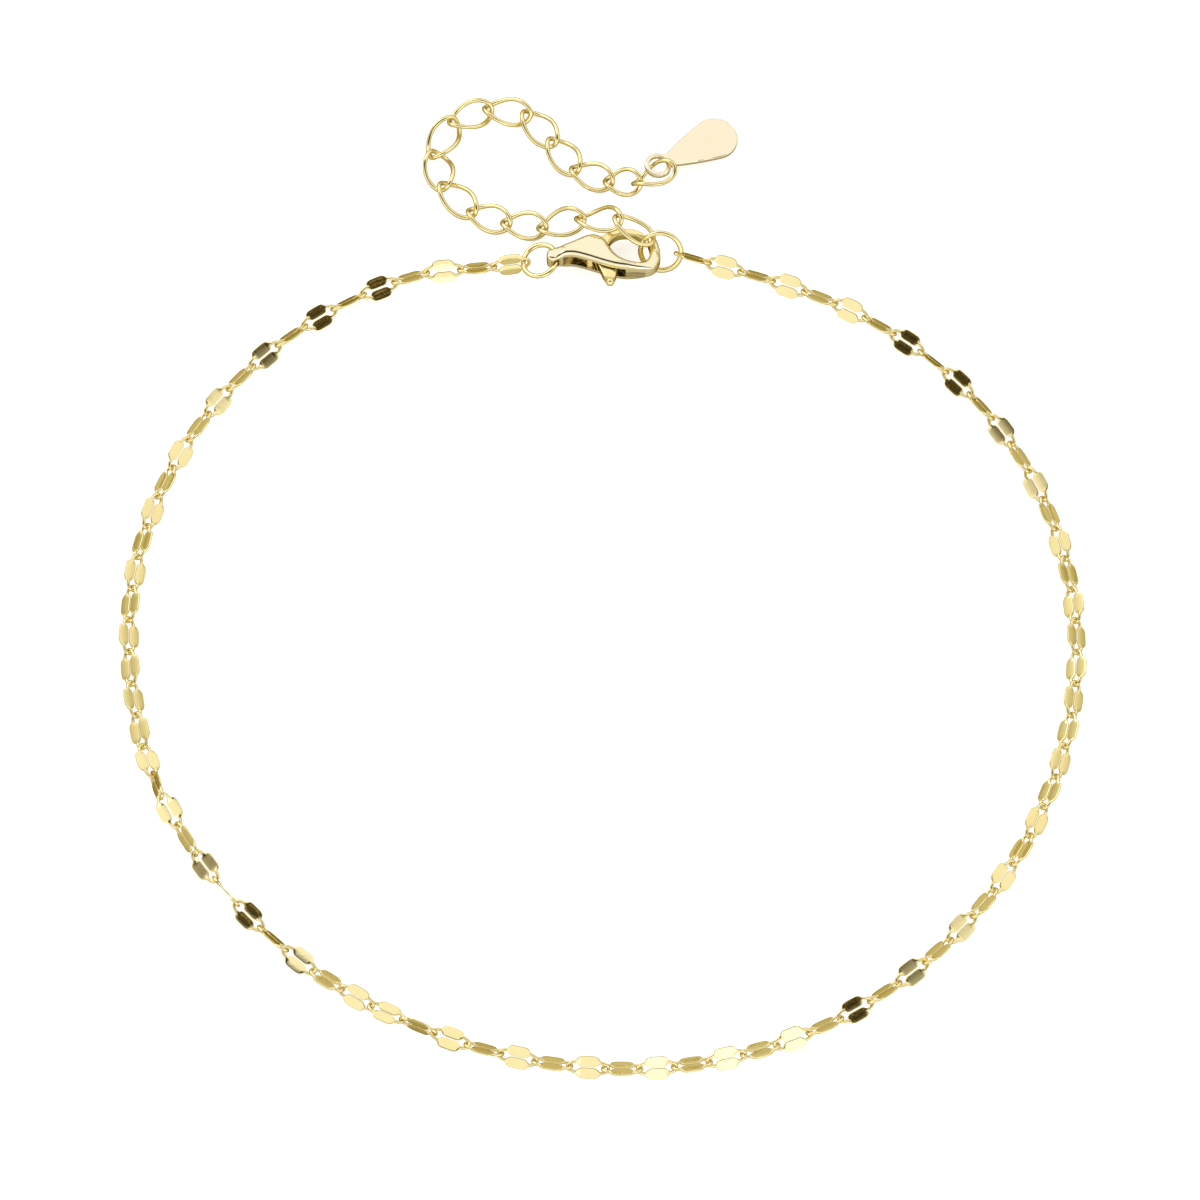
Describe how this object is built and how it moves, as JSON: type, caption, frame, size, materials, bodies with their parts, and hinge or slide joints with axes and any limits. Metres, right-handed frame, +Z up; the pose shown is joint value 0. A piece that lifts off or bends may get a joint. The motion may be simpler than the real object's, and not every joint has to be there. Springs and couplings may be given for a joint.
{
  "type": "chain anklet",
  "caption": "Gold chain anklet laid as an open loop: pressed sequin links, lobster clasp with a sprung lever, twisted oval extender links and a teardrop tag.",
  "frame": {"origin": "middle of the footprint's bounding box, on the table it lies on", "axes": "+X along the clasp towards its hook, +Y towards the extender and away from the camera, +Z up"},
  "size_m": [0.077, 0.0854, 0.0036],
  "materials": {
    "chain_gold": "mirror polished gold plating",
    "ring_gold": "polished gold plating",
    "clasp_gold": "polished gold plating",
    "lever_gold": "polished gold plating",
    "extender_gold": "polished gold plating",
    "tag_gold": "polished gold plating"
  },
  "bodies": {
    "root": {"sequin_chain_left": "chain_gold", "sequin_chain_right": "chain_gold", "tail_ring": "ring_gold", "jump_ring": "ring_gold", "clasp_body": "clasp_gold", "extender_link_01": "extender_gold", "extender_link_02": "extender_gold", "extender_link_03": "extender_gold", "extender_link_04": "extender_gold", "extender_link_05": "extender_gold", "extender_link_06": "extender_gold", "extender_link_07": "extender_gold", "extender_link_08": "extender_gold", "extender_link_09": "extender_gold", "extender_link_10": "extender_gold", "extender_link_11": "extender_gold", "extender_link_12": "extender_gold", "extender_link_13": "extender_gold", "extender_link_14": "extender_gold", "extender_link_15": "extender_gold", "teardrop_tag": "tag_gold"},
    "lever": {"clasp_lever": "lever_gold"}
  },
  "joints": [
    {"name": "clasp_lever_hinge", "type": "hinge", "parent": "root", "child": "lever", "pos_m": [-0.00035, 0.02818, 0.00135], "axis": [0, -0.2079, -0.9781], "range_deg": [0, 12], "stiffness_Nm_per_rad": 0.0005, "springref_deg": -22.92}
  ]
}
